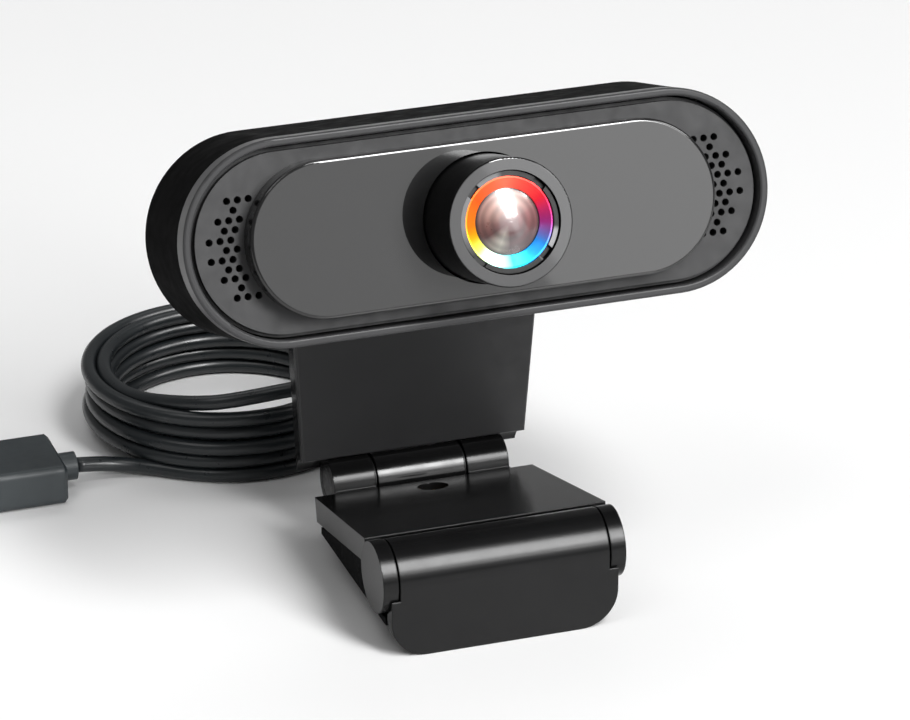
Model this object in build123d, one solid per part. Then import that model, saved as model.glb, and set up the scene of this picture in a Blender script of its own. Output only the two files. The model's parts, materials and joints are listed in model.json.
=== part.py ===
from build123d import *
import math
import os

# A webcam with a capsule-shaped head on a folding monitor clip, standing on a table.
# Frame, in millimetres: +X along the head, +Y from the lens to the back, +Z up, the table at z = 0.

# Head: its own axes start at the middle of the rim's front face, and it looks up by HEAD_PITCH.
HEAD_WIDTH = 96.0
HEAD_HEIGHT = 32.5
HEAD_DEPTH = 24.5
HEAD_Y = -10.4
HEAD_Z = 68.4
HEAD_PITCH = 18.96
SHELL_DRAFT = 0.3
SHELL_WALL = 1.8
BEZEL_WALL = 1.3
BEZEL_DEPTH = 3.6
PANEL_INSET = 2.1
PANEL_FACE = 1.1
FASCIA_WIDTH = 76.1
FASCIA_HEIGHT = 24.6
FASCIA_FACE = -2.84
FASCIA_WALL = 1.4
MIC_X = 40.9
MIC_PITCH_X = 1.73
MIC_PITCH_Z = 1.5
MIC_HOLE_R = 0.57
MIC_REACH = [0, 1.5, 0, 0.5, -1, -0.5]

# Lens, all round the head's Y axis
RING_R = 10.0
RING_FACE = -14.85
RING_BORE_R = 8.07
GUIDE_R = 10.3
CELL_R = 7.9
CELL_FACE = -14.3
CELL_SEAT_R = 7.14
GLASS_R = 5.2
THREAD_R = 6.0
BOARD_FACE = 13.6
BOARD_T = 1.2

# Neck: its own axes start on the neck hinge
HINGE_Y = 22.8
HINGE_Z = 9.1
NECK_LEAN = 2.5
NECK_T = 4.9
NECK_COVER_T = 1.5
NECK_TOP = 41.0
NECK_BOTTOM = 4.3
KNUCKLE_R = 4.0
KNUCKLE_MID = 7.5
KNUCKLE_GAP = 0.5
KNUCKLE_END = 15.2
PIN_R = 1.5
RUNNING = 0.06
TILT_REACH = 35.5
TILT_R = 4.3
TILT_HALF = 6.0
EAR_T = 4.4

# Clip: the plate's own axes start on the neck hinge too, pitched up to the front
PLATE_PITCH = 13.7
PLATE_TOP = -0.8
PLATE_T = 4.2
PLATE_REAR = -4.95
PLATE_FRONT = -36.7
PLATE_HALF_REAR = 18.9
PLATE_HALF_FRONT = 20.3
ROLLER_R = 5.8
ROLLER_AT = (-39.4, -6.6)
ROLLER_MID = 17.5
ROLLER_GAP = 0.3
LIP_T = 2.24
LIP_HALF = 19.0
LIP_CORNER_R = 6.3
LEG_Y = 19.7
LEG_Z = 2.5
LEG_R = 2.5
LEG_REACH = 39.2
LEG_FLOOR = 4.4
LEG_HALF = 18.9
LEG_ARM_HALF = 12.0
THREAD_AT = -9.6
INSERT_R = 3.6
TRIPOD_R = 2.55

# Cable
CABLE_R = 1.3
RELIEF_X = 17.5
COIL_X = -19.0
COIL_Y = 68.5
COIL_OUTER_R = 24.6
COIL_INNER_R = 19.0
COIL_H = 13.4
PLUG_X = -50.0
PLUG_Y = 53.9
PLUG_Z = 3.5
PLUG_COLLAR = 3.0
PLUG_BODY = (20.0, 14.5, 7.0)
SHELL_SIZE = (12.0, 12.0, 4.5)
CABLE_LENGTH = 1350.0
RELIEF_GAP = 0.1

HEAD = Location((0, HEAD_Y, HEAD_Z), (-HEAD_PITCH, 0, 0))
NECK = Location((0, HINGE_Y, HINGE_Z), (NECK_LEAN, 0, 0))
PLATE = Location((0, HINGE_Y, HINGE_Z), (-PLATE_PITCH, 0, 0))
FRAME = Location((0, 0, 0))

# Places of the drop's corners, from the strain relief's tip down behind the neck to the coil
DROP_ROUTE = [
    (17.5, 30.5, 54.35),
    (17.0, 37.6, 48.8),
    (15.5, 42.5, 40.2),
    (13.8, 45.0, 30.4),
    (10.0, 45.9, 21.4),
    (3.4, 45.7, 15.4),
    (-4.4, 45.4, 12.6),
    (-12.4, 45.9, 11.7),
]
LEAD_ROUTE = [
    (-32.4, 49.7, 1.5),
    (-36.5, 52.6, 1.5),
    (-41.2, 54.3, 2.0),
    (-45.8, 54.5, 2.9),
    (PLUG_X, PLUG_Y, PLUG_Z),
]


# ------------------------------------------------------------------ shapes
def slab(outline, front, back):
    """An outline drawn in X and Z, from y = front to y = back."""
    return extrude(Plane.XZ.offset(-front) * outline, amount=front - back)


def side_slab(outline, left, right):
    """An outline drawn in Y and Z, from x = left to x = right."""
    return extrude(Plane.YZ.offset(left) * outline, amount=right - left)


def capsule(width, height, front, back):
    return slab(SlotOverall(width, height), front, back)


def rod(radius, front, back, x=0.0, z=0.0):
    return slab(Pos(x, z) * Circle(radius), front, back)


def bar(radius, left, right, y=0.0, z=0.0):
    return side_slab(Pos(y, z) * Circle(radius), left, right)


def block(x, y, z):
    """A box from three pairs of limits."""
    size = [pair[1] - pair[0] for pair in (x, y, z)]
    middle = [(pair[0] + pair[1]) / 2 for pair in (x, y, z)]
    return Pos(*middle) * Box(*size)


def turned(points, arc=None):
    """A body of revolution about Y from (radius, y) points; arc bulges the first side."""
    lines = Polyline(*points, close=False)
    if arc:
        closing = ThreePointArc(points[-1], arc, points[0])
    else:
        closing = Line(points[-1], points[0])
    return revolve(make_face(lines.edges() + closing.edges()), Axis.Y)


def both_sides(make):
    return [make(-1), make(1)]


def screw(shaft_r, head_r, head_t, length, x, y, z):
    """A cross-head screw along Y whose head's seat is at y and whose shaft goes forward."""
    body = rod(shaft_r, y - length, y, x, z) + rod(head_r, y, y + head_t, x, z)
    slot = head_r * 0.6
    width = head_r * 0.14
    back = y + head_t
    body -= block((x - slot, x + slot), (back - 0.5, back + 1), (z - width, z + width))
    body -= block((x - width, x + width), (back - 0.5, back + 1), (z - slot, z + slot))
    return body


def hinge_pin(half, head_r=2.4, thickness=0.8):
    heads = bar(head_r, -half, -half + thickness) + bar(head_r, half - thickness, half)
    return bar(PIN_R, -half, half) + heads


def tube(points, radius):
    """A round cable along straight runs joined by tangent arcs, as large as the runs allow."""
    corners = [Vector(*p) for p in points]
    runs = [b - a for a, b in zip(corners, corners[1:])]
    radii = []
    for before, after in zip(runs, runs[1:]):
        turn = math.radians(before.get_angle(after))
        radii.append(0.45 * min(before.length, after.length) / math.tan(turn / 2))
    path = FilletPolyline(*points, radius=radii)
    section = Plane(origin=path @ 0, z_dir=path % 0) * Circle(radius)
    solid = sweep(section, path=path)
    print("cable: length", round(path.length, 1), "radii", [round(r, 1) for r in radii],
          "volume ratio", round(solid.volume / (math.pi * radius**2 * path.length), 4))
    return solid, path.length


# ------------------------------------------------------------------ head
CASE_POSTS = [(x, z) for x in (-31.0, 31.0) for z in (-10.6, 10.6)]
BOARD_POSTS = [(x, z) for x in (-22.5, 22.5) for z in (-8.0, 8.0)]
BRACKET_SCREWS = [(0.0, -3.9), (0.0, 3.9)]
CASE_SEAT = 20.0
POST_MEET = 16.0


def rear_shell():
    front = Plane.XZ.offset(-BEZEL_DEPTH) * SlotOverall(HEAD_WIDTH, HEAD_HEIGHT)
    grown = SlotOverall(HEAD_WIDTH + 2 * SHELL_DRAFT, HEAD_HEIGHT + 2 * SHELL_DRAFT)
    outer = loft([front, Plane.XZ.offset(-HEAD_DEPTH) * grown], ruled=True)
    outer = fillet(outer.faces().sort_by(Axis.Y)[-1].edges(), 2.6)
    inside = 2 * SHELL_WALL
    shell = outer - capsule(HEAD_WIDTH - inside, HEAD_HEIGHT - inside, BEZEL_DEPTH, HEAD_DEPTH - SHELL_WALL)
    shell += block((-12, 12), (HEAD_DEPTH - 4.8, HEAD_DEPTH - SHELL_WALL), (-7, 7))
    for x, z in CASE_POSTS:
        shell += rod(3.6, POST_MEET, HEAD_DEPTH - SHELL_WALL, x, z)
        shell -= rod(2.3, CASE_SEAT, HEAD_DEPTH + 1, x, z)
        shell -= rod(1.1, POST_MEET - 1, CASE_SEAT, x, z)
    for x, z in BRACKET_SCREWS:
        shell -= rod(0.9, HEAD_DEPTH - 4.2, HEAD_DEPTH + 1, x, z)
    return shell - rod(3.2, HEAD_DEPTH - 3, HEAD_DEPTH + 1, RELIEF_X, 0)


def front_bezel():
    inner = 2 * BEZEL_WALL
    ring = capsule(HEAD_WIDTH, HEAD_HEIGHT, 0, BEZEL_DEPTH)
    ring -= capsule(HEAD_WIDTH - inner, HEAD_HEIGHT - inner, -1, BEZEL_DEPTH + 1)
    return fillet(ring.faces().sort_by(Axis.Y)[0].edges(), 0.4)


def fascia_end(z):
    """How far from the middle the fascia reaches at height z."""
    radius = FASCIA_HEIGHT / 2
    return FASCIA_WIDTH / 2 - radius + math.sqrt(radius**2 - z**2)


def mic_holes():
    """Both groups of microphone holes, each row ending at its own reach."""
    spots = []
    for row in range(-5, 6):
        z = row * MIC_PITCH_Z
        x = MIC_X + MIC_REACH[abs(row)] * MIC_PITCH_X
        while x > fascia_end(z) + MIC_HOLE_R + 0.5:
            spots += [(x, z), (-x, z)]
            x -= MIC_PITCH_X
    return spots


def front_panel():
    inset = 2 * PANEL_INSET
    flange = 2 * BEZEL_WALL + 0.5
    panel = capsule(HEAD_WIDTH - inset, HEAD_HEIGHT - inset, PANEL_FACE, BEZEL_DEPTH)
    panel += capsule(HEAD_WIDTH - flange, HEAD_HEIGHT - flange, 2.4, BEZEL_DEPTH)
    boss_w = FASCIA_WIDTH - 2 * FASCIA_WALL - 0.4
    boss_h = FASCIA_HEIGHT - 2 * FASCIA_WALL - 0.4
    boss_face = FASCIA_FACE + FASCIA_WALL + 0.04
    panel += capsule(boss_w, boss_h, boss_face, PANEL_FACE)
    hollow = capsule(boss_w - 3, boss_h - 3, boss_face + 1.3, BEZEL_DEPTH)
    panel -= hollow - rod(12.6, boss_face, BEZEL_DEPTH)
    panel -= rod(GUIDE_R, boss_face - 1, BEZEL_DEPTH + 1)
    for x, z in CASE_POSTS:
        panel += rod(2.8, BEZEL_DEPTH, POST_MEET, x, z) - rod(0.9, 8, POST_MEET, x, z)
    for x, z in BOARD_POSTS:
        panel += rod(2.2, boss_face + 1, BOARD_FACE, x, z) - rod(0.8, 7, BOARD_FACE, x, z)
    holes = [Pos(x, z) * Circle(MIC_HOLE_R) for x, z in mic_holes()]
    return panel - slab(Sketch() + holes, PANEL_FACE - 1, BEZEL_DEPTH + 1)


def fascia():
    plate = capsule(FASCIA_WIDTH, FASCIA_HEIGHT, FASCIA_FACE, PANEL_FACE)
    plate = fillet(plate.faces().sort_by(Axis.Y)[0].edges(), 0.5)
    wall = 2 * FASCIA_WALL
    plate -= capsule(FASCIA_WIDTH - wall, FASCIA_HEIGHT - wall, FASCIA_FACE + FASCIA_WALL, PANEL_FACE + 1)
    return plate - rod(GUIDE_R, FASCIA_FACE - 1, PANEL_FACE + 1)


def mic_felts():
    room = capsule(HEAD_WIDTH - 2 * SHELL_WALL - 0.8, HEAD_HEIGHT - 2 * SHELL_WALL - 0.8, 3, 5)
    pads = []
    for side in (-1, 1):
        pad = slab(Pos(side * 40.6, 0) * RectangleRounded(9.6, 17.6, 3), BEZEL_DEPTH, BEZEL_DEPTH + 0.8)
        pads.append(pad & room)
    return pads


def microphone(side):
    front = BEZEL_DEPTH + 0.8
    mic = rod(3.0, front, front + 2.2, side * 40.5, 0)
    mic -= rod(0.6, front - 1, front + 0.6, side * 40.5, 0)
    for z in (-1.0, 1.0):
        mic += rod(0.25, front + 2.2, front + 4.0, side * 40.5, z)
    return mic


def mic_boot(side):
    front = BEZEL_DEPTH + 0.8
    return rod(4.2, front, front + 2.8, side * 40.5, 0) - rod(3.0, front, front + 3, side * 40.5, 0)


def tilt_bracket():
    base = slab(RectangleRounded(2 * (TILT_HALF + EAR_T) + 3.6, 13.0, 2.5), HEAD_DEPTH, HEAD_DEPTH + 2.0)
    inner = TILT_HALF + KNUCKLE_GAP
    for side in (-1, 1):
        ends = sorted((side * inner, side * (inner + EAR_T)))
        arm = side_slab(Pos((HEAD_DEPTH + TILT_REACH) / 2, 0) * Rectangle(TILT_REACH - HEAD_DEPTH, 8.2), *ends)
        base += arm + bar(TILT_R, *ends, y=TILT_REACH)
        outer = side * (inner + EAR_T)
        base -= bar(2.45, *sorted((outer, outer - side * 0.9)), y=TILT_REACH)
    base -= bar(PIN_R, -20, 20, y=TILT_REACH)
    for x, z in BRACKET_SCREWS:
        base -= rod(1.1, HEAD_DEPTH - 1, HEAD_DEPTH + 3, x, z)
    return base


def washers(inner, outer_r, y=0.0):
    rings = []
    for side in (-1, 1):
        ends = sorted((side * (inner + 0.1), side * (inner + KNUCKLE_GAP - 0.1)))
        rings.append(bar(outer_r, *ends, y=y) - bar(PIN_R + RUNNING, *ends, y=y))
    return rings


def strain_relief():
    start = HEAD_DEPTH - SHELL_WALL
    profile = [(0, start - 1.5), (3.9, start - 1.5), (3.9, start), (3.15, start), (3.15, HEAD_DEPTH),
               (2.9, HEAD_DEPTH + 0.6), (1.9, TILT_REACH), (0, TILT_REACH)]
    relief = turned(profile)
    for ring in range(4):
        y = HEAD_DEPTH + 2.2 + 2.1 * ring
        relief -= rod(4, y, y + 0.8) - rod(2.35 - 0.2 * ring, y, y + 0.8)
    return Pos(RELIEF_X, 0, 0) * relief


# ------------------------------------------------------------------ lens and electronics
def focus_ring():
    ring = rod(RING_R, RING_FACE, 5.4) + rod(11.4, 3.9, 5.4)
    ring = fillet(ring.faces().sort_by(Axis.Y)[0].edges(), 0.25)
    ring -= rod(RING_BORE_R, RING_FACE - 1, 6)
    for side in (-1, 1):
        ring -= block(sorted((side * 7, side * 8.9)), (-8.6, 6), (-0.75, 0.75))
    dimple = Rot(0, 18, 0) * Pos(0, RING_FACE + 2.2, RING_R + 2.7) * Sphere(3.0)
    return ring - dimple


def lens_barrel():
    cell = rod(CELL_R, CELL_FACE, 0.5) + rod(THREAD_R, 0.5, 10.5)
    for side in (-1, 1):
        cell += block(sorted((side * 7, side * 8.6)), (-8.0, -2.0), (-0.6, 0.6))
    cell -= rod(CELL_SEAT_R, CELL_FACE - 1, -10.6) + rod(4.6, -11, 11)
    for quarter in range(4):
        notch = block((6.5, CELL_R + 0.5), (CELL_FACE - 1, CELL_FACE + 0.7), (-1.1, 1.1))
        cell -= Rot(0, 45 + 90 * quarter, 0) * notch
    return cell


def lens_retainer():
    outer = CELL_SEAT_R - 0.04
    return turned([(GLASS_R, -12.6), (outer, -12.6), (outer, -13.9), (outer - 0.3, -13.9), (GLASS_R, -13.1)])


def front_lens():
    seat = CELL_SEAT_R - 0.04
    edge = GLASS_R - 0.05
    profile = [(edge, -12.95), (edge, -12.6), (seat, -12.6), (seat, -10.6), (0, -11.0), (0, -13.8)]
    return turned(profile, arc=(edge * 0.52, -13.58))


def lens_holder():
    holder = block((-7.5, 7.5), (10.9, BOARD_FACE), (-7.5, 7.5)) + rod(7.6, 5.7, 10.9)
    holder -= rod(THREAD_R + 0.05, 5, 10.9)
    holder -= block((-3.2, 3.2), (10, 12), (-3.2, 3.2))
    holder -= block((-4.2, 4.2), (11.3, 13), (-4.2, 4.2))
    return holder - block((-5.2, 5.2), (11.95, BOARD_FACE + 1), (-5.2, 5.2))


def image_sensor():
    package = block((-4.2, 4.2), (BOARD_FACE - 1.1, BOARD_FACE), (-3.8, 3.8))
    return package - block((-3.0, 3.0), (BOARD_FACE - 1.2, BOARD_FACE - 0.9), (-2.2, 2.2))


def main_board():
    board = slab(RectangleRounded(52, 22, 2), BOARD_FACE, BOARD_FACE + BOARD_T)
    for x, z in BOARD_POSTS:
        board -= rod(1.0, BOARD_FACE - 1, BOARD_FACE + 2, x, z)
    return board


def board_parts():
    """Chips, crystal, coils and capacitors on the back of the board: x, z, width, height, depth."""
    back = BOARD_FACE + BOARD_T
    chips = [(-8, 0, 9, 9, 1.0), (2.5, 4.5, 5, 4, 1.5), (3, -4, 3.2, 2.5, 0.9), (-17.5, 2.5, 3, 3, 1.6)]
    chips += [(-17.5, -3.5 - 1.8 * step, 1.6, 0.8, 0.8) for step in range(3)]
    chips += [(9.0 + 2.2 * step, -8.0, 0.8, 1.6, 0.8) for step in range(4)]
    parts = []
    for x, z, width, height, depth in chips:
        parts.append(block((x - width / 2, x + width / 2), (back, back + depth), (z - height / 2, z + height / 2)))
    return parts


def usb_header():
    back = BOARD_FACE + BOARD_T
    housing = block((10.8, 20.4), (back, back + 3.6), (3.0, 7.6))
    return housing - block((11.6, 19.6), (back + 0.6, back + 4), (3.8, 6.8))


def inner_lead():
    """The wires' bundle from the strain relief to the header."""
    route = [(RELIEF_X, 20.2, 0), (16.4, 20.0, 3.0), (15.6, 19.6, 5.3), (15.6, 16.4, 5.3)]
    bundle = Pos(RELIEF_X, 20.2, 0) * Sphere(0.9)
    for start, end in zip(route, route[1:]):
        run = Vector(*end) - Vector(*start)
        middle = Vector(*start) + run * 0.5
        bundle += Plane(origin=middle, z_dir=run) * Cylinder(0.9, run.length)
        bundle += Pos(*end) * Sphere(0.9)
    return bundle


# ------------------------------------------------------------------ neck
NECK_SCREWS = [(x, z) for x in (-14.0, 14.0) for z in (10.0, 35.0)]
TILT_AT = (NECK.inverse() * HEAD * Location((0, TILT_REACH, 0))).position


def neck_outline(bottom):
    slope = (21.6 - 19.3) / (NECK_TOP - NECK_BOTTOM)
    low = 19.3 - slope * (NECK_BOTTOM - bottom)
    corners = [(-low, bottom), (low, bottom), (21.6, NECK_TOP), (-21.6, NECK_TOP)]
    outline = make_face(Polyline(*corners, close=True))
    return fillet(outline.vertices().sort_by(Axis.Y)[-2:], 4.0)


def neck_cover():
    cover = slab(neck_outline(NECK_BOTTOM), 0, NECK_COVER_T)
    cover = chamfer(cover.faces().sort_by(Axis.Y)[0].edges(), 0.3)
    for x, z in NECK_SCREWS:
        cover += rod(2.1, NECK_COVER_T, 3.3, x, z)
        cover -= rod(0.8, 0.8, 4, x, z)
    return cover


def neck_frame():
    frame = slab(neck_outline(0.8), NECK_COVER_T, NECK_T)
    frame = chamfer(frame.faces().sort_by(Axis.Y)[-1].edges(), 0.4)
    frame -= bar(KNUCKLE_R + 0.35, -30, 30)
    frame += bar(KNUCKLE_R, -KNUCKLE_MID, KNUCKLE_MID)
    frame += block((-KNUCKLE_MID, KNUCKLE_MID), (NECK_COVER_T, NECK_T - 0.4), (0.8, 6))
    frame += block((-TILT_HALF, TILT_HALF), (NECK_COVER_T, NECK_T - 0.4), (NECK_TOP - 3, TILT_AT.Z))
    frame += bar(TILT_R, -TILT_HALF, TILT_HALF, y=TILT_AT.Y, z=TILT_AT.Z)
    frame -= bar(PIN_R + RUNNING, -30, 30)
    frame -= bar(PIN_R + RUNNING, -30, 30, y=TILT_AT.Y, z=TILT_AT.Z)
    for x, z in NECK_SCREWS:
        frame -= rod(2.2, NECK_COVER_T, 3.3, x, z)
        frame -= rod(1.0, 3, 6, x, z)
        frame -= rod(1.9, 3.9, 6, x, z)
    return frame


# ------------------------------------------------------------------ clip
PLATE_UNDER = PLATE_TOP - PLATE_T
ROLLER = (PLATE * Location((0, *ROLLER_AT))).position
COVER_HALF = 15.0
COVER_Y = (-31.0, -14.5)
PLATE_SCREWS = [(x, y) for x in (-12.5, 12.5) for y in (-28.5, -17.0)]


def leg_ears():
    ears = []
    for side in (-1, 1):
        ends = sorted((side * (LEG_ARM_HALF + 0.2), side * KNUCKLE_END))
        web = side_slab(Pos(LEG_Y + 0.4, LEG_Z + 2.0) * Rectangle(2 * LEG_R - 0.8, 4.6), *ends)
        ears.append(bar(LEG_R, *ends, y=LEG_Y, z=LEG_Z) + web)
    return ears


def top_plate():
    half_front = PLATE_HALF_FRONT
    corners = [(-PLATE_HALF_REAR, PLATE_REAR), (PLATE_HALF_REAR, PLATE_REAR),
               (half_front, PLATE_FRONT), (-half_front, PLATE_FRONT)]
    outline = make_face(Polyline(*corners, close=True))
    plate = Pos(0, 0, PLATE_UNDER) * extrude(outline, amount=PLATE_T)
    cut = bar(ROLLER_R + ROLLER_GAP, -ROLLER_MID - ROLLER_GAP, ROLLER_MID + ROLLER_GAP, *ROLLER_AT)
    plate -= cut
    for side in (-1, 1):
        cheek = sorted((side * (ROLLER_MID + ROLLER_GAP), side * half_front))
        plate += bar(ROLLER_R, *cheek, *ROLLER_AT)
        knuckle = sorted((side * (KNUCKLE_MID + KNUCKLE_GAP), side * KNUCKLE_END))
        plate += bar(KNUCKLE_R, *knuckle)
        plate += block(knuckle, (PLATE_REAR - 1, 0), (-KNUCKLE_R, PLATE_TOP))
        end = side * KNUCKLE_END
        plate -= bar(2.45, *sorted((end, end - side * 0.9)))
    plate -= bar(PIN_R, -30, 30)
    plate -= bar(PIN_R, -19.4, 19.4, *ROLLER_AT)
    plate -= block((-COVER_HALF, COVER_HALF), COVER_Y, (PLATE_UNDER - 1, PLATE_UNDER + 1.4))
    plate -= Pos(0, THREAD_AT, PLATE_UNDER) * Cylinder(INSERT_R, 2 * (PLATE_T - 1.2))
    plate -= Pos(0, THREAD_AT, 0) * Cylinder(TRIPOD_R, 12)
    for x, y in PLATE_SCREWS:
        plate -= Pos(x, y, PLATE_UNDER + 1.4) * Cylinder(0.7, 3.0)
    placed = PLATE * plate
    for ear in leg_ears():
        placed += ear
    placed -= bar(KNUCKLE_R + 0.3, -KNUCKLE_MID - 0.4, KNUCKLE_MID + 0.4, y=HINGE_Y, z=HINGE_Z)
    return placed - bar(1.0, -30, 30, y=LEG_Y, z=LEG_Z)


def plate_cover():
    half = COVER_HALF - 0.1
    sheet = block((-half, half), (COVER_Y[0] + 0.1, COVER_Y[1] - 0.1), (PLATE_UNDER, PLATE_UNDER + 1.4))
    for x, y in PLATE_SCREWS:
        sheet -= Pos(x, y, PLATE_UNDER) * Cylinder(0.9, 4)
        sheet -= Pos(x, y, PLATE_UNDER) * Cylinder(1.7, 1.6)
    return sheet


def plate_screws():
    screws = []
    for x, y in PLATE_SCREWS:
        head = Pos(x, y, PLATE_UNDER + 0.45) * Cylinder(1.6, 0.7)
        shaft = Pos(x, y, PLATE_UNDER + 1.7) * Cylinder(0.68, 2.2)
        slot = block((x - 1, x + 1), (y - 0.2, y + 0.2), (PLATE_UNDER, PLATE_UNDER + 0.4))
        screws.append(head + shaft - slot)
    return screws


def thread_insert():
    middle = PLATE_UNDER + (PLATE_T - 1.2) / 2
    return Pos(0, THREAD_AT, middle) * (Cylinder(INSERT_R, PLATE_T - 1.2) - Cylinder(TRIPOD_R, PLATE_T))


def lip():
    front = ROLLER.Y - ROLLER_R
    outline = Pos(0, ROLLER.Z / 2) * Rectangle(2 * LIP_HALF, ROLLER.Z)
    outline = fillet(outline.vertices().sort_by(Axis.Y)[:2], LIP_CORNER_R)
    flap = slab(outline, front, front + LIP_T)
    flap -= block((-15.2, 15.2), (front + LIP_T - 0.7, front + LIP_T + 1), (1.6, 6.0))
    for side in (-1, 1):
        cut = sorted((side * ROLLER_MID, side * 30))
        flap -= bar(ROLLER_R + ROLLER_GAP, *cut, y=ROLLER.Y, z=ROLLER.Z)
    flap += bar(ROLLER_R, -ROLLER_MID, ROLLER_MID, y=ROLLER.Y, z=ROLLER.Z)
    return flap - bar(PIN_R + RUNNING, -30, 30, y=ROLLER.Y, z=ROLLER.Z)


def lip_pad():
    inner = ROLLER.Y - ROLLER_R + LIP_T
    return block((-15.1, 15.1), (inner - 0.7, inner + 0.3), (1.7, 5.9))


def leg_top(y):
    """Height of the folded leg's upper face, just under the plate."""
    pitch = math.radians(PLATE_PITCH)
    start = PLATE * Location((0, PLATE_REAR, PLATE_UNDER))
    return start.position.Z - 0.4 + (start.position.Y - y) * math.tan(pitch)


def wedge(rear, front, floor):
    return make_face(Polyline((rear, floor), (rear, leg_top(rear)), (front, leg_top(front)), (front, floor), close=True))


def rear_leg():
    tip = LEG_Y - LEG_REACH - 2
    body = side_slab(wedge(14.4, tip, LEG_FLOOR), -LEG_HALF, LEG_HALF)
    arm_profile = make_face(Polyline((LEG_Y, 0), (LEG_Y, 2 * LEG_R), (16.4, 4.95), (9.0, leg_top(9.0)),
                                     (6.0, LEG_FLOOR), close=True))
    arm = side_slab(arm_profile, -LEG_ARM_HALF, LEG_ARM_HALF)
    body += arm + bar(LEG_R, -LEG_ARM_HALF, LEG_ARM_HALF, y=LEG_Y, z=LEG_Z)
    body &= bar(LEG_REACH, -30, 30, y=LEG_Y, z=LEG_Z)
    body -= bar(ROLLER_R + 0.8, -30, 30, y=ROLLER.Y, z=ROLLER.Z)
    body -= bar(1.05, -30, 30, y=LEG_Y, z=LEG_Z)
    return body - leg_pad(0.1)


def leg_pad(grow=0.0):
    """The rubber grip set into the leg's upper face."""
    rear, front = 6.0 + grow, -8.0 - grow
    outline = Polyline((rear, leg_top(rear) - 0.8 - grow), (rear, leg_top(rear)),
                       (front, leg_top(front)), (front, leg_top(front) - 0.8 - grow), close=True)
    return side_slab(make_face(outline), -14 - grow, 14 + grow)


# ------------------------------------------------------------------ cable
def cable_start():
    tip = (HEAD * Location((RELIEF_X, TILT_REACH + RELIEF_GAP, 0))).position
    return (tip.X, tip.Y, tip.Z)


def cable_coil():
    ring = Cylinder(COIL_OUTER_R, COIL_H) - Cylinder(COIL_INNER_R, COIL_H)
    return Pos(COIL_X, COIL_Y, COIL_H / 2) * ring


def plug_overmold():
    length, width, height = PLUG_BODY
    body = Pos(-PLUG_COLLAR - length / 2, 0, 0) * Box(length, width, height)
    body = fillet(body.edges().filter_by(Axis.X), 1.2)
    body = chamfer(body.faces().sort_by(Axis.X)[-1].edges(), 0.6)
    body += Pos(-PLUG_COLLAR / 2, 0, 0) * Rot(0, 90, 0) * Cylinder(2.4, PLUG_COLLAR)
    return Pos(PLUG_X, PLUG_Y, PLUG_Z) * body


def plug_front():
    return PLUG_X - PLUG_COLLAR - PLUG_BODY[0]


def plug_shell():
    length, width, height = SHELL_SIZE
    tube_out = Box(length, width, height)
    tube_in = Pos(-0.5, 0, 0) * Box(length, width - 0.6, height - 0.6)
    shell = tube_out - tube_in
    for y in (-3.0, 3.0):
        shell -= Pos(0.5, y, height / 2) * Box(2.2, 2.4, 1.2)
    return Pos(plug_front() - length / 2, PLUG_Y, PLUG_Z) * shell


def plug_tongue():
    length = SHELL_SIZE[0] - 1.2
    tongue = Pos(plug_front() - 0.5 - length / 2, PLUG_Y, PLUG_Z - 1.0) * Box(length, 11.2, 1.8)
    return tongue


def plug_contacts():
    contacts = []
    for y in (-3.5, -1.0, 1.0, 3.5):
        contacts.append(Pos(plug_front() - 6.4, PLUG_Y + y, PLUG_Z - 0.02) * Box(8.0, 1.1, 0.16))
    return contacts


# ------------------------------------------------------------------ assembly
boxes = []


def save(name, made, place=FRAME):
    shapes = made if isinstance(made, list) else [made]
    placed = [place * shape for shape in shapes]
    whole = placed[0] if len(placed) == 1 else Compound(children=placed)
    export_step(whole, os.path.join("parts", name + ".step"))
    if not name.startswith(("cable_", "plug_")):
        boxes.append(whole.bounding_box())


def save_head():
    for make in (rear_shell, front_bezel, front_panel, fascia, mic_felts, tilt_bracket, strain_relief,
                 focus_ring, lens_barrel, lens_retainer, front_lens, lens_holder, image_sensor,
                 main_board, board_parts, usb_header, inner_lead):
        save(make.__name__, make(), HEAD)
    save("mic_left", microphone(-1), HEAD)
    save("mic_right", microphone(1), HEAD)
    save("mic_boots", both_sides(mic_boot), HEAD)
    save("aperture_ring", rod(4.55, 2.0, 2.5) - rod(1.3, 1, 3), HEAD)
    save("lens_spacer", rod(4.55, 2.5, 5.4) - rod(3.7, 2, 6), HEAD)
    save("rear_lens", turned([(4.55, 5.8), (4.55, 7.6), (0, 8.1), (0, 5.4)], arc=(2.4, 5.5)), HEAD)
    save("ir_filter", block((-4.1, 4.1), (11.3, 11.9), (-4.1, 4.1)), HEAD)
    back = BOARD_FACE + BOARD_T
    save("board_screws", [screw(0.78, 1.7, 1.1, 6, x, back, z) for x, z in BOARD_POSTS], HEAD)
    save("case_screws", [screw(0.88, 2.0, 1.5, 10, x, CASE_SEAT, z) for x, z in CASE_POSTS], HEAD)
    save("bracket_screws", [screw(0.88, 1.8, 1.2, 5.5, x, HEAD_DEPTH + 2, z) for x, z in BRACKET_SCREWS], HEAD)
    pin_half = TILT_HALF + KNUCKLE_GAP + EAR_T
    save("tilt_pin", Pos(0, TILT_REACH, 0) * hinge_pin(pin_half), HEAD)
    save("tilt_washers", washers(TILT_HALF, 3.6, TILT_REACH), HEAD)


def save_neck():
    save("neck_cover", neck_cover(), NECK)
    save("neck_frame", neck_frame(), NECK)
    save("neck_screws", [screw(0.78, 1.8, 0.8, 2.6, x, 3.9, z) for x, z in NECK_SCREWS], NECK)


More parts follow.
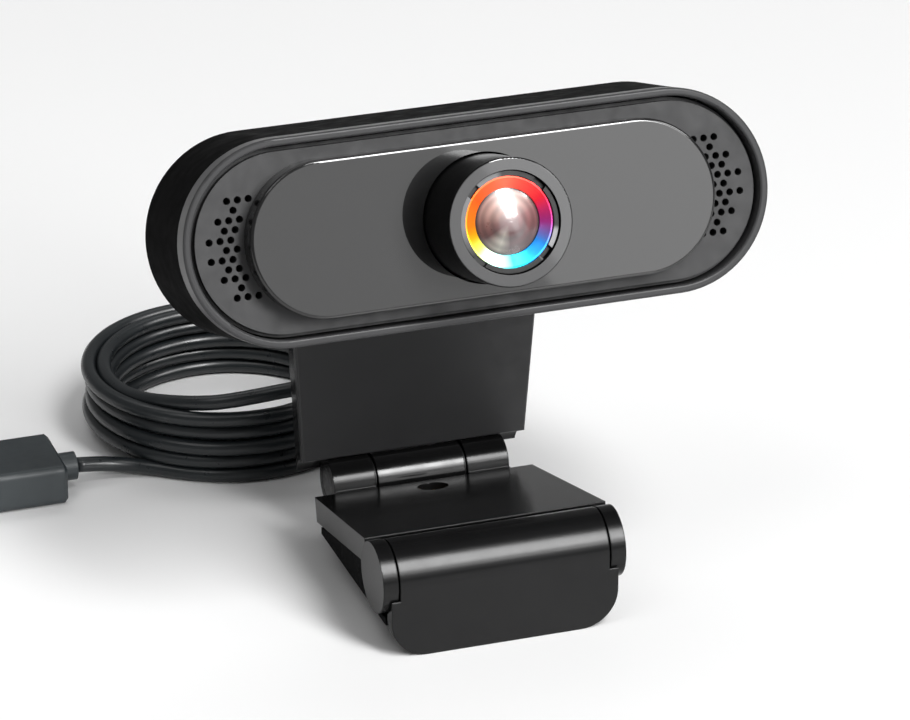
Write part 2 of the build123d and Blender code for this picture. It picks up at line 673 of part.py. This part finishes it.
def save_clip():
    for make in (top_plate, lip, lip_pad, rear_leg, leg_pad):
        save(make.__name__, make())
    for make in (plate_cover, plate_screws, thread_insert):
        save(make.__name__, make(), PLATE)
    save("neck_pin", hinge_pin(KNUCKLE_END), PLATE)
    save("neck_washers", washers(KNUCKLE_MID, 3.5), PLATE)
    save("lip_pin", bar(PIN_R, -19.3, 19.3, y=ROLLER.Y, z=ROLLER.Z))
    save("leg_pin", bar(1.0, -KNUCKLE_END, KNUCKLE_END, y=LEG_Y, z=LEG_Z))


def save_cable():
    drop, drop_length = tube([cable_start()] + DROP_ROUTE, CABLE_R)
    lead, lead_length = tube(LEAD_ROUTE, CABLE_R)
    turn = math.pi * (COIL_OUTER_R + COIL_INNER_R)
    coiled = CABLE_LENGTH - drop_length - lead_length
    print("cable: coiled length", round(coiled), "in", round(coiled / turn, 2), "turns")
    save("cable_drop", drop)
    save("cable_lead", lead)
    for make in (cable_coil, plug_overmold, plug_shell, plug_tongue, plug_contacts):
        save(make.__name__, make())


def main():
    os.makedirs("parts", exist_ok=True)
    save_head()
    save_neck()
    save_clip()
    save_cable()
    print("tilt axis", (HEAD * Location((0, TILT_REACH, 0))).position, "roller", ROLLER)
    low = [min((box.min.X, box.min.Y, box.min.Z)[axis] for box in boxes) for axis in range(3)]
    high = [max((box.max.X, box.max.Y, box.max.Z)[axis] for box in boxes) for axis in range(3)]
    print("box without the cable", [round(value, 3) for value in low + high])


main()
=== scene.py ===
import json
import math

import bpy
from mathutils import Matrix, Vector


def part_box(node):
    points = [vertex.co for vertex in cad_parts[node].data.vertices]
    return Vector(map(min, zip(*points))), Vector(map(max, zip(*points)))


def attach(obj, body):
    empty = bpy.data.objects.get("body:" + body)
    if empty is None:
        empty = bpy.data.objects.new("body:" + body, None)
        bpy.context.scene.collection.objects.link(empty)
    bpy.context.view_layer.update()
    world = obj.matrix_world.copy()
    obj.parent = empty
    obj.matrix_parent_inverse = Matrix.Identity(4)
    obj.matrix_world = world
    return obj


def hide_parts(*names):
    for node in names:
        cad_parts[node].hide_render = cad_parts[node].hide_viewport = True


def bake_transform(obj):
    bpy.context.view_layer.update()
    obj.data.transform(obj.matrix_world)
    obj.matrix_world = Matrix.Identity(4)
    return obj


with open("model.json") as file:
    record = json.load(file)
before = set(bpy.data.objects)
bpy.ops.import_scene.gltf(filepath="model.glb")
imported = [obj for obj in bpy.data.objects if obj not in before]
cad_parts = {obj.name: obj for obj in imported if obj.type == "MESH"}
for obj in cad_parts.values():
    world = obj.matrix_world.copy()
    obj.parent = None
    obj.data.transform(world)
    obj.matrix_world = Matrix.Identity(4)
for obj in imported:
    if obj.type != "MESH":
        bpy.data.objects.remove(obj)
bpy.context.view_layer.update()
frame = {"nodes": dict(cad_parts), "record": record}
MM = 0.001

# The head's own axes: its origin is the middle of the rim's front face, and it looks up by HEAD_PITCH
HEAD_PITCH = math.radians(18.96)
HEAD_AT = Vector((0, -10.4, 68.4))
# Along the head's Y, in millimetres: what is in front of these is the ring's and the barrel's own face
RING_FACE = -14.83
BARREL_FACE = -14.2


# ---------------------------------------------------------------- camera, floor and light
CAMERA_AZIMUTH = math.radians(-18.85)
CAMERA_ELEVATION = math.radians(24.98)
CAMERA_DISTANCE = 0.8086
CAMERA_TARGET = Vector((-4.26, -10.4, 44.5)) * MM
CAMERA_LENS = 203.65
WORLD_STRENGTH = 0.2
FLOOR_REACH = 4.0
FLOOR_COLOUR = (0.97, 0.97, 0.97, 1)
FLOOR_ROUGHNESS = 0.35
OBJECT_MIDDLE = (0, 0, 0.045)


def direction(azimuth, elevation):
    """Unit vector towards a point seen from the object; azimuth 0 is in front of it, positive on its right."""
    flat = math.cos(elevation)
    return Vector((math.sin(azimuth) * flat, -math.cos(azimuth) * flat, math.sin(elevation)))


def add_camera():
    data = bpy.data.cameras.new("camera")
    data.lens = CAMERA_LENS
    data.sensor_width = 36
    data.clip_start = 0.01
    camera = bpy.data.objects.new("camera", data)
    back = direction(CAMERA_AZIMUTH, CAMERA_ELEVATION)
    camera.location = CAMERA_TARGET + back * CAMERA_DISTANCE
    camera.rotation_euler = back.to_track_quat("Z", "Y").to_euler()
    bpy.context.scene.collection.objects.link(camera)
    bpy.context.scene.camera = camera


def add_card(name, azimuth, elevation, distance, size, radiance, turn=0, aim=OBJECT_MIDDLE, only_gloss=False):
    """A soft box in that direction from the aim, in degrees and metres, turned about its own axis."""
    back = direction(math.radians(azimuth), math.radians(elevation))
    data = bpy.data.lights.new(name, "AREA")
    data.shape = "RECTANGLE"
    data.size, data.size_y = size
    data.energy = radiance * math.pi * size[0] * size[1]
    light = bpy.data.objects.new(name, data)
    light.location = Vector(aim) + back * distance
    light.visible_diffuse = not only_gloss
    facing = back.to_track_quat("Z", "Y").to_matrix() @ Matrix.Rotation(math.radians(turn), 3, "Z")
    light.rotation_euler = facing.to_euler()
    bpy.context.scene.collection.objects.link(light)


def add_stage():
    """White floor and world, three soft boxes, and the cards that only the glossy surfaces see."""
    bpy.context.scene.view_settings.view_transform = "Standard"
    world = bpy.data.worlds.new("studio")
    bpy.context.scene.world = world
    world.use_nodes = True
    background = world.node_tree.nodes["Background"]
    background.inputs["Color"].default_value = (1, 1, 1, 1)
    background.inputs["Strength"].default_value = WORLD_STRENGTH
    corners = [(x * FLOOR_REACH, y * FLOOR_REACH, 0) for x, y in ((-1, -1), (1, -1), (1, 1), (-1, 1))]
    mesh = bpy.data.meshes.new("floor")
    mesh.from_pydata(corners, [], [(0, 1, 2, 3)])
    floor = bpy.data.objects.new("floor", mesh)
    bpy.context.scene.collection.objects.link(floor)
    paint = bpy.data.materials.new("floor_paint")
    paint.use_nodes = True
    shader = paint.node_tree.nodes["Principled BSDF"]
    shader.inputs["Base Color"].default_value = FLOOR_COLOUR
    shader.inputs["Roughness"].default_value = FLOOR_ROUGHNESS
    mesh.materials.append(paint)
    add_card("key", 23, 43, 2.0, (0.44, 1.9), 20)
    add_card("left_fill", -60, 62, 1.6, (0.8, 0.6), 2.0)
    add_card("back_fill", 170, 60, 1.8, (1.6, 0.5), 1.8)
    face = HEAD_AT * MM
    add_card("face_card", 18, 12, 0.9, (0.34, 0.3), 1.85, aim=face, only_gloss=True)
    add_card("glare", 24.98, 15.6, 0.8, (0.2, 0.6), 1.9, turn=24.2, aim=face, only_gloss=True)
    add_card("hot_spot", 58, 38, 1.5, (0.45, 0.5), 14, aim=face, only_gloss=True)
    add_card("key_gloss", 23, 43, 1.95, (0.44, 1.0), 27, only_gloss=True)


# ---------------------------------------------------------------- materials
def add_node(material, kind, inputs=None, **settings):
    """A shader node with its settings and its inputs, each a value or another node's socket."""
    made = material.node_tree.nodes.new("ShaderNode" + kind)
    for key, value in settings.items():
        setattr(made, key, value)
    for key, value in (inputs or {}).items():
        socket = made.inputs[key]
        if isinstance(value, bpy.types.NodeSocket):
            material.node_tree.links.new(value, socket)
        else:
            socket.default_value = value
    return made


def noise(material, place, size, detail=3.0):
    """Noise whose features are about that many millimetres across."""
    return add_node(material, "TexNoise", {"Vector": place, "Scale": 1 / (size * MM), "Detail": detail}).outputs[0]


def spread(material, value, low, high):
    """Noise stretched to run from low to high."""
    ends = {"Value": value, "From Min": 0.3, "From Max": 0.7, "To Min": low, "To Max": high}
    return add_node(material, "MapRange", ends).outputs[0]


def mix(material, factor, first, second, blend="MIX"):
    """Two colours or colour sockets mixed by a factor."""
    made = add_node(material, "Mix", {0: factor}, data_type="RGBA", blend_type=blend)
    for index, value in ((6, first), (7, second)):
        if isinstance(value, bpy.types.NodeSocket):
            material.node_tree.links.new(value, made.inputs[index])
        else:
            made.inputs[index].default_value = (*value, 1)
    return made.outputs[2]


def math_node(material, operation, first, second=0.0):
    return add_node(material, "Math", {0: first, 1: second}, operation=operation).outputs[0]


def own_place(material):
    return add_node(material, "TexCoord").outputs["Object"]


def head_place(material):
    """Millimetres in the head's own axes."""
    shift = -(Matrix.Rotation(HEAD_PITCH, 3, "X") @ HEAD_AT)
    turned = {
        "Vector": own_place(material),
        "Scale": (1 / MM,) * 3,
        "Rotation": (HEAD_PITCH, 0, 0),
        "Location": shift,
    }
    return add_node(material, "Mapping", turned, vector_type="POINT").outputs[0]


def skin(name, colour, roughness, tone=0.12, gloss=0.18, grain=0.25, depth=0.0, edge=0.12, paint=None, **uniform):
    """A surface whose tone and gloss vary a little, with a fine grain and eased edges, in millimetres."""
    material = bpy.data.materials.new(name)
    material.use_nodes = True
    shader = material.node_tree.nodes["Principled BSDF"]
    links = material.node_tree.links
    place = own_place(material)
    darker = [part * (1 - tone) for part in colour]
    lighter = [part * (1 + tone) for part in colour]
    blotch = spread(material, noise(material, place, 9.0), 0, 1)
    tint = mix(material, blotch, darker, lighter)
    if paint:
        tint = paint(material, tint)
    links.new(tint, shader.inputs["Base Color"])
    wear = noise(material, place, 2.5, detail=6.0)
    links.new(spread(material, wear, roughness * (1 - gloss), roughness * (1 + gloss)), shader.inputs["Roughness"])
    normal = add_node(material, "Bevel", {"Radius": edge * MM}, samples=4).outputs[0]
    if depth:
        height = noise(material, place, grain, detail=2.0)
        pressed = {"Height": height, "Distance": depth * MM, "Strength": 1.0, "Normal": normal}
        normal = add_node(material, "Bump", pressed).outputs[0]
    links.new(normal, shader.inputs["Normal"])
    for socket, value in uniform.items():
        shader.inputs[socket.replace("_", " ")].default_value = value
    return material


def grey(level):
    return (level, level, level * 1.03)


def ring_painted_sheen(material, tint):
    """The focus ring's front has a clear coat and a painted grey sheen; the rest of it is bare black."""
    parts = add_node(material, "SeparateXYZ", {0: head_place(material)})
    front = math_node(material, "LESS_THAN", parts.outputs["Y"], RING_FACE)
    shader = material.node_tree.nodes["Principled BSDF"]
    material.node_tree.links.new(front, shader.inputs["Coat Weight"])
    # Painted sheen: the front face's base colour is a lighter grey than the rest of the ring
    return mix(material, front, tint, grey(0.045))


def turn_about_lens(material):
    """0 to 1 once round the lens, from its left side and up over its top."""
    parts = add_node(material, "SeparateXYZ", {0: head_place(material)})
    leftward = math_node(material, "MULTIPLY", parts.outputs["X"], -1)
    angle = math_node(material, "ARCTAN2", parts.outputs["Z"], leftward)
    return math_node(material, "FRACT", math_node(material, "DIVIDE", angle, 2 * math.pi)), parts


def ramp(material, value, stops):
    """The colour at a value between stops, each a position and a colour."""
    made = add_node(material, "ValToRGB", {0: value})
    points = made.color_ramp.elements
    while len(points) < len(stops):
        points.new(0.5)
    for point, (at, colour) in zip(points, stops):
        point.position = at
        point.color = (*colour, 1)
    return made.outputs[0]


# Colours once round the lens: the coated ring's and the front lens dome's painted reflections, and the barrel
# face's arcs
PAINTED_RAINBOW_REFLECTION = [
    (0.0, (1.0, 0.24, 0.0)),
    (0.11, (1.0, 0.1, 0.0)),
    (0.25, (1.0, 0.12, 0.06)),
    (0.42, (0.85, 0.01, 0.03)),
    (0.52, (0.4, 0.03, 0.25)),
    (0.6, (0.02, 0.25, 0.75)),
    (0.68, (0.0, 0.35, 0.95)),
    (0.75, (0.0, 0.85, 1.0)),
    (0.83, (0.55, 1.0, 0.85)),
    (0.9, (0.85, 0.95, 0.12)),
    (0.95, (1.0, 0.5, 0.0)),
    (1.0, (1.0, 0.24, 0.0)),
]
GLASS = [
    (0.0, (0.16, 0.07, 0.06)),
    (0.12, (0.42, 0.25, 0.21)),
    (0.3, (0.6, 0.42, 0.36)),
    (0.45, (0.25, 0.1, 0.1)),
    (0.62, (0.05, 0.0, 0.004)),
    (0.75, (0.03, 0.0, 0.002)),
    (0.82, (0.28, 0.26, 0.22)),
    (0.92, (0.07, 0.02, 0.02)),
    (1.0, (0.16, 0.07, 0.06)),
]
CELL = [
    (0.0, grey(0.16)),
    (0.22, grey(0.16)),
    (0.24, grey(0.012)),
    (0.53, grey(0.012)),
    (0.545, grey(0.3)),
    (0.64, grey(0.3)),
    (0.655, grey(0.004)),
    (0.9, grey(0.004)),
    (1.0, grey(0.16)),
]


def cell_paint(material, tint):
    """The lens barrel's face is painted in light and dark arcs round it; all behind it is black."""
    turn, parts = turn_about_lens(material)
    front = math_node(material, "LESS_THAN", parts.outputs["Y"], BARREL_FACE)
    return mix(material, front, tint, ramp(material, turn, CELL))


def painted_coating_reflection(material, tint):
    """A painted reflection: the coating's rainbow colours change once round the ring."""
    turn, _ = turn_about_lens(material)
    return mix(material, 0.96, tint, ramp(material, turn, PAINTED_RAINBOW_REFLECTION))


def glass_paint(material, tint):
    """Reflections of the inner lenses in the coated dome: arcs about the middle, lighter to the upper left."""
    turn, parts = turn_about_lens(material)
    across = add_node(material, "CombineXYZ", {"X": parts.outputs["X"], "Y": parts.outputs["Z"], "Z": 0.0})
    radius = add_node(material, "VectorMath", {0: across.outputs[0]}, operation="LENGTH").outputs["Value"]
    round_glow = ramp(material, turn, GLASS)
    rings = math_node(material, "SINE", math_node(material, "MULTIPLY", radius, 4.2))
    shades = {"Value": rings, "From Min": -1, "From Max": 1, "To Min": 0.7, "To Max": 1.1}
    shade = add_node(material, "MapRange", shades)
    banded = mix(material, 1.0, round_glow, shade.outputs[0], "MULTIPLY")
    middle = add_node(material, "MapRange", {"Value": radius, "From Min": 0.4, "From Max": 2.6})
    calm = mix(material, middle.outputs[0], (0.12, 0.04, 0.04), banded)
    rim = add_node(material, "MapRange", {"Value": radius, "From Min": 4.5, "From Max": 5.1})
    return mix(material, rim.outputs[0], calm, (0.012, 0.006, 0.006))


def trace_paint(material, tint):
    """Copper tracks under a green mask."""
    place = add_node(material, "Mapping", {"Vector": head_place(material), "Scale": (0.55, 0.0, 1.4)})
    tracks = add_node(material, "TexBrick", {"Vector": place.outputs[0], "Scale": 1.0, "Mortar Size": 0.05})
    return mix(material, tracks.outputs[1], tint, (0.03, 0.26, 0.08))


def metal(name, colour, roughness):
    return skin(name, colour, roughness, tone=0.06, gloss=0.3, grain=0.15, depth=0.004, edge=0.08, Metallic=1.0)


def make_materials():
    """The finish of each material slot."""
    black = grey(0.006)
    soft = {"Specular_IOR_Level": 0.25}
    mirror = {"Coat_Weight": 1.0, "Coat_Roughness": 0.03}
    return {
        "shell_gloss": skin("shell_gloss", black, 0.42, edge=0.3, Specular_IOR_Level=0.001),
        "rim_satin": skin("rim_satin", grey(0.046), 0.3, tone=0.04, gloss=0.08, edge=0.15, depth=0.002,
                          Specular_IOR_Level=0.12),
        "panel_matte": skin("panel_matte", grey(0.035), 0.55, tone=0.05, grain=0.18, depth=0.006, **soft),
        "fascia_gloss": skin("fascia_gloss", grey(0.008), 0.3, tone=0.05, gloss=0.08, edge=0.15,
                             Specular_IOR_Level=0.06, **mirror),
        "ring_gloss": skin("ring_gloss", black, 0.3, paint=ring_painted_sheen, gloss=0.08, Specular_IOR_Level=0.06,
                           Coat_Roughness=0.03),
        "cell_black": skin("cell_black", grey(0.01), 0.4, paint=cell_paint, depth=0.002, **soft),
        "coated_ring": skin("coated_ring", grey(0.02), 0.35, paint=painted_coating_reflection, edge=0.05, Metallic=0.6),
        "lens_glass": skin("lens_glass", grey(0.02), 0.3, paint=glass_paint, edge=0.02, Coat_Weight=1.0,
                           Coat_Roughness=0.13, Coat_IOR=1.7),
        "filter_glass": skin("filter_glass", (0.05, 0.2, 0.22), 0.05, edge=0.05, Coat_Weight=0.8),
        "sensor_chip": skin("sensor_chip", (0.03, 0.03, 0.05), 0.15, edge=0.05),
        "board": skin("board", (0.01, 0.12, 0.04), 0.35, paint=trace_paint, edge=0.05, Coat_Weight=0.3),
        "chip_black": skin("chip_black", grey(0.02), 0.5, grain=0.1, depth=0.006, edge=0.05),
        "header_white": skin("header_white", (0.75, 0.72, 0.62), 0.4, depth=0.004, edge=0.08),
        "steel": metal("steel", grey(0.55), 0.28),
        "pin_black": metal("pin_black", grey(0.05), 0.3),
        "insert_brass": metal("insert_brass", (0.72, 0.48, 0.18), 0.3),
        "mic_metal": metal("mic_metal", grey(0.65), 0.25),
        "boot_rubber": skin("boot_rubber", grey(0.02), 0.7, depth=0.01),
        "felt": skin("felt", grey(0.008), 0.95, tone=0.4, grain=0.12, depth=0.05, Sheen_Weight=0.3),
        "clip_gloss": skin("clip_gloss", grey(0.007), 0.2, edge=0.25, gloss=0.08, Specular_IOR_Level=0.13),
        "leg_plastic": skin("leg_plastic", grey(0.007), 0.26, edge=0.25, Specular_IOR_Level=0.002),
        "neck_matte": skin("neck_matte", grey(0.031), 0.4, tone=0.05, grain=0.2, depth=0.002, edge=0.15,
                           Specular_IOR_Level=0.18),
        "neck_gloss": skin("neck_gloss", grey(0.007), 0.2, edge=0.2, **soft),
        "grip_rubber": skin("grip_rubber", grey(0.015), 0.75, grain=0.3, depth=0.012, edge=0.08),
        "cable_jacket": skin("cable_jacket", (0.013, 0.016, 0.018), 0.32, grain=0.6, depth=0.004, edge=0.05),
        "plug_plastic": skin("plug_plastic", (0.03, 0.038, 0.042), 0.45, grain=0.2, depth=0.006, edge=0.2),
        "plug_steel": metal("plug_steel", grey(0.7), 0.22),
        "plug_core": skin("plug_core", (0.8, 0.8, 0.78), 0.4, edge=0.1),
        "contact_gold": metal("contact_gold", (0.9, 0.62, 0.22), 0.2),
    }


def dress(materials):
    """Every CAD node gets its slot's material."""
    for part in frame["record"]["subparts"]:
        piece = frame["nodes"][part["node"]]
        piece.data.materials.clear()
        piece.data.materials.append(materials[part["material_slot"]])


# ---------------------------------------------------------------- cable
# In millimetres: the jacket's radius, the strain relief's tip, the way down to the coil and on to the plug
CABLE_R = 1.3
RELIEF_TIP = (17.5, 23.174, 56.866)
DROP_ROUTE = [
    (17.5, 30.5, 54.35),
    (17.0, 37.6, 48.8),
    (15.5, 42.5, 40.2),
    (13.8, 45.0, 30.4),
    (10.0, 45.9, 21.9),
    (3.4, 45.6, 17.2),
    (-4.4, 45.2, 16.2),
    (-12.4, 45.2, 16.2),
]
LEAD_ROUTE = [
    (-36.5, 52.6, 1.5),
    (-41.2, 54.3, 2.0),
    (-45.8, 54.5, 2.9),
    (-50.0, 53.9, 3.5),
]
# The coil: its middle, the radii of its two columns, the distance between its layers, and how far and by
# what angle each layer lies off the one below it
COIL_AT = (-19.0, 68.5)
COLUMN_R = (20.56, 23.2)
TOP_LAYER = 4
LAYER_PITCH = 2.61
LAYER_SHIFT = 0.45
LAYER_ANGLE = 2.4
TURNS = 9.097
POINTS_PER_TURN = 24
# In turns: where the cable first steps to another place, how often it does, how long a step and the way in are
FIRST_STEP = 0.88
STEP_EVERY = 0.97
STEP_WIDTH = 0.08
ENTRY = 0.2
ENTRY_LIFT = 1.6


def turn_place(step):
    """Column radius, height and sideways shift of one of the coil's places, counted from the top inside."""
    layer = TOP_LAYER - step // 2
    column = COLUMN_R[(step + 1) // 2 % 2]
    angle = LAYER_ANGLE * layer
    height = CABLE_R + LAYER_PITCH * layer
    return Vector((column, height, LAYER_SHIFT * math.cos(angle), LAYER_SHIFT * math.sin(angle)))


def coil_points():
    """The cable's way round the coil, stepping from place to place on the side away from the lead."""
    points = []
    across = COLUMN_R[1] - COLUMN_R[0]
    count = round(TURNS * POINTS_PER_TURN)
    for index in range(1, count + 1):
        turn = TURNS * index / count
        along = (turn - FIRST_STEP) / STEP_EVERY
        step = max(math.floor(along), -1)
        share = min(max((along - step) * STEP_EVERY / STEP_WIDTH, 0), 1)
        share *= share * (3 - 2 * share)
        place = turn_place(step + 1) if step < 0 else turn_place(step).lerp(turn_place(step + 1), share)
        radius, height, shift_x, shift_y = place
        rise = max(1 - turn / ENTRY, 0)
        over = math.pi / 2 * rise * rise * (3 - 2 * rise)
        radius += across * (1 - math.cos(over))
        height += across * math.sin(over) + ENTRY_LIFT * max(1 - 2 * turn / ENTRY, 0) ** 2
        angle = -math.pi / 2 - 2 * math.pi * turn
        radius /= math.cos(math.pi / POINTS_PER_TURN)
        points.append((COIL_AT[0] + shift_x + radius * math.cos(angle),
                       COIL_AT[1] + shift_y + radius * math.sin(angle), height))
    return points


def spline_line(name, points):
    """Points read along the smooth curve that a list of control points makes."""
    curve = bpy.data.curves.new(name, "CURVE")
    curve.dimensions = "3D"
    curve.resolution_u = 6
    spline = curve.splines.new("NURBS")
    spline.points.add(len(points) - 1)
    for slot, point in zip(spline.points, points):
        slot.co = (*(Vector(point) * MM), 1)
    spline.order_u = 3
    spline.use_endpoint_u = True
    carrier = bpy.data.objects.new(name, curve)
    bpy.context.scene.collection.objects.link(carrier)
    bpy.context.view_layer.update()
    line = [vertex.co.copy() for vertex in bpy.data.meshes.new_from_object(carrier).vertices]
    bpy.data.objects.remove(carrier)
    return line


def new_piece(name, vertices, faces, slot, materials):
    """A mesh object in the finish of its slot."""
    mesh = bpy.data.meshes.new(name)
    mesh.from_pydata(vertices, [], faces)
    mesh.materials.append(materials[slot])
    piece = bpy.data.objects.new(name, mesh)
    bpy.context.scene.collection.objects.link(piece)
    return piece


def tube(name, line, radius, slot, materials, sides=16):
    """A round tube along a line, closed at both ends."""
    vertices = []
    normal = Vector((1, 0, 0))
    for index, point in enumerate(line):
        ahead = (line[min(index + 1, len(line) - 1)] - line[max(index - 1, 0)]).normalized()
        normal = (normal - ahead * normal.dot(ahead)).normalized()
        side = ahead.cross(normal)
        for step in range(sides):
            angle = 2 * math.pi * step / sides
            vertices.append(point + (normal * math.cos(angle) + side * math.sin(angle)) * radius)
    faces = []
    for ring in range(0, len(vertices) - sides, sides):
        for step in range(sides):
            after = (step + 1) % sides
            faces.append((ring + step, ring + after, ring + sides + after, ring + sides + step))
    faces.append(tuple(reversed(range(sides))))
    faces.append(tuple(range(len(vertices) - sides, len(vertices))))
    piece = new_piece(name, vertices, faces, slot, materials)
    piece.data.shade_smooth()
    return piece


def add_cable(materials):
    """The whole cord, from the neck down round the coil and on to the plug."""
    line = spline_line("usb_cable_line", [RELIEF_TIP] + DROP_ROUTE + coil_points() + LEAD_ROUTE)
    print("cable length", round(sum((b - a).length for a, b in zip(line, line[1:])), 4))
    cable = tube("usb_cable", line, CABLE_R * MM, "cable_jacket", materials)
    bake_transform(cable)
    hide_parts("cable_drop", "cable_coil", "cable_lead")


# ---------------------------------------------------------------- rubber grips
LEG_PAD_THICKNESS = 0.8 * MM


def ribbed_pad(name, corners, reach, ribs, groove, node, body, materials):
    """A grip strip along X: corners are its base's two ends and its face's two ends in (y, z), in metres."""
    base_a, base_b, face_a, face_b = [Vector(corner) for corner in corners]
    inward = (base_a - face_a).normalized() * groove
    profile = [base_a, base_b]
    for rib in range(ribs):
        for share, drop in ((0.08, 1), (0.25, 0), (0.75, 0), (0.92, 1)):
            profile.append(face_b.lerp(face_a, (rib + share) / ribs) + inward * drop)
    vertices = [(x, *point) for x in (-reach, reach) for point in profile]
    count = len(profile)
    faces = [(k, (k + 1) % count, count + (k + 1) % count, count + k) for k in range(count)]
    faces += [tuple(reversed(range(count))), tuple(range(count, 2 * count))]
    pad = new_piece(name, vertices, faces, "grip_rubber", materials)
    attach(pad, body)
    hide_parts(node)


def add_grips(materials):
    """Ribbed rubber in the room of the plain pads; the leg's pad slopes with the leg."""
    low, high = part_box("leg_pad")
    top, bottom = high.z - LEG_PAD_THICKNESS, low.z + LEG_PAD_THICKNESS
    corners = [(high.y, low.z), (low.y, top), (high.y, bottom), (low.y, high.z)]
    ribbed_pad("leg_grip", corners, high.x, 12, 0.35 * MM, "leg_pad", "leg", materials)
    low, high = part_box("lip_pad")
    corners = [(low.y, low.z), (low.y, high.z), (high.y, low.z), (high.y, high.z)]
    ribbed_pad("lip_grip", corners, high.x, 4, 0.3 * MM, "lip_pad", "lip", materials)


add_camera()
add_stage()
finishes = make_materials()
dress(finishes)
add_cable(finishes)
add_grips(finishes)
